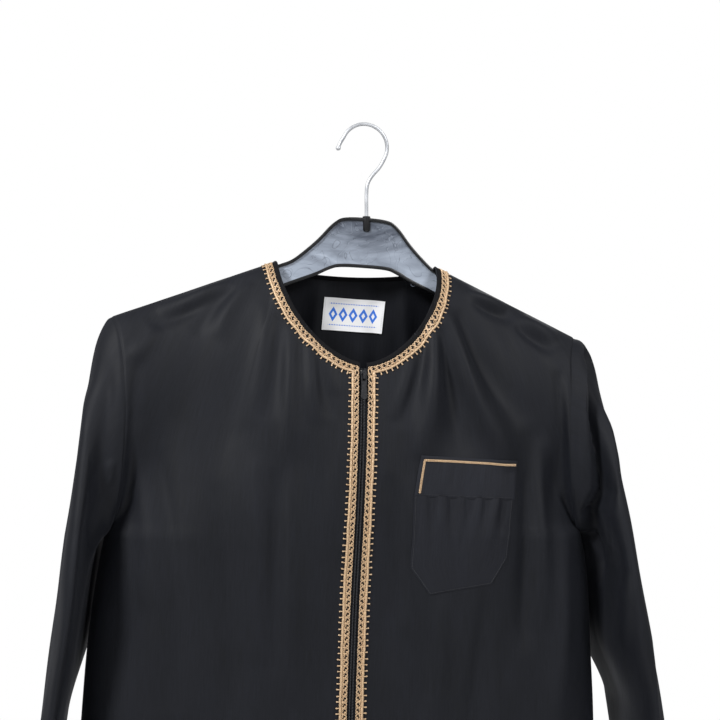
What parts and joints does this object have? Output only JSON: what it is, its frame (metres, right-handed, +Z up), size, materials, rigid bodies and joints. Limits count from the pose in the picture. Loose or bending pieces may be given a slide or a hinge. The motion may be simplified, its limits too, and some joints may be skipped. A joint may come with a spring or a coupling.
{
  "type": "qamis on a hanger",
  "caption": "Long dark qamis with a round neck, gold braid, front zip and chest pocket, hanging open and empty on a moulded hanger with a wire hook.",
  "frame": {"origin": "bearing point at the top inside of the hanger's hook, where a rod carries it", "axes": "+Z up, the garment's front faces -Y, the wearer's left is +X"},
  "size_m": [0.6795, 0.1923, 1.5436],
  "materials": {
    "cloth": "soft matt microfibre twill, nearly black",
    "band_cloth": "same cloth folded double, pressed",
    "gold_braid": "crochet-like braid of gold thread, soft gleam",
    "label_cloth": "woven satin label",
    "zip_tape": "black herringbone tape",
    "zip_coil": "nylon coil",
    "zip_metal": "black enamel, worn at the edges",
    "hanger_plastic": "black moulded plastic, scuffed",
    "hook_steel": "galvanised wire"
  },
  "bodies": {
    "garment": {"front_left": "cloth", "front_right": "cloth", "back": "cloth", "sleeve_left": "cloth", "sleeve_right": "cloth", "pocket": "cloth", "pocket_band": "band_cloth", "neck_binding": "band_cloth", "trim_left": "gold_braid", "trim_right": "gold_braid", "trim_back": "gold_braid", "pocket_stitch": "gold_braid", "label": "label_cloth", "zip_tape_left": "zip_tape", "zip_tape_right": "zip_tape", "zip_chain": "zip_coil", "zip_slider": "zip_metal", "hanger_blade": "hanger_plastic", "hanger_hook": "hook_steel"},
    "zip_pull": {"zip_pull": "zip_metal"}
  },
  "joints": [
    {"name": "pull_hinge", "type": "hinge", "parent": "garment", "child": "zip_pull", "pos_m": [-0.01042, -0.05527, -0.24959], "axis": [-0.9992, 0.0092, 0.0379], "range_deg": [0, 150]}
  ]
}
